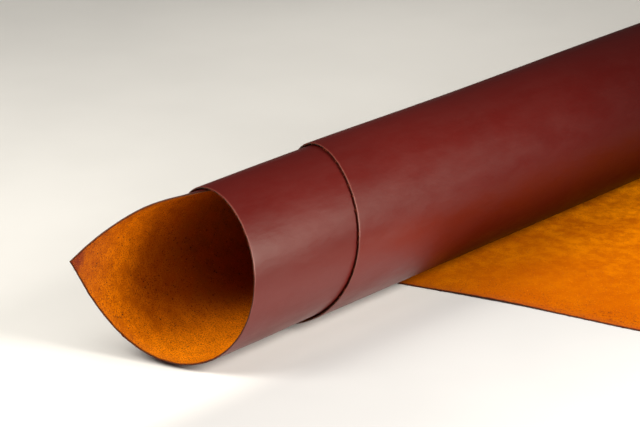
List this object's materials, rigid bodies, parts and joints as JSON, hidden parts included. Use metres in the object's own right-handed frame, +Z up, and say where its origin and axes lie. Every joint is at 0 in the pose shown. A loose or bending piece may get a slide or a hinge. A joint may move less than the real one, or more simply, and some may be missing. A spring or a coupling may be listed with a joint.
{
  "type": "rolled leather hide",
  "caption": "Cut sheet of vegetable tanned leather wound into an open roll, its outer end flat on the surface and its inner corner standing out as a pointed tongue.",
  "frame": {"origin": "on the surface it rests on, under the centre of the bounding box", "axes": "+Y along the roll, away from the mouth with the pointed tongue; +X from the roll towards the flat tail; +Z up"},
  "size_m": [0.3686, 0.8178, 0.1195],
  "materials": {
    "leather": "burgundy waxed grain side with a soft shine, orange tan fibrous flesh side, dark dyed cut edges"
  },
  "bodies": {
    "root": {"hide": "leather"}
  },
  "joints": []
}
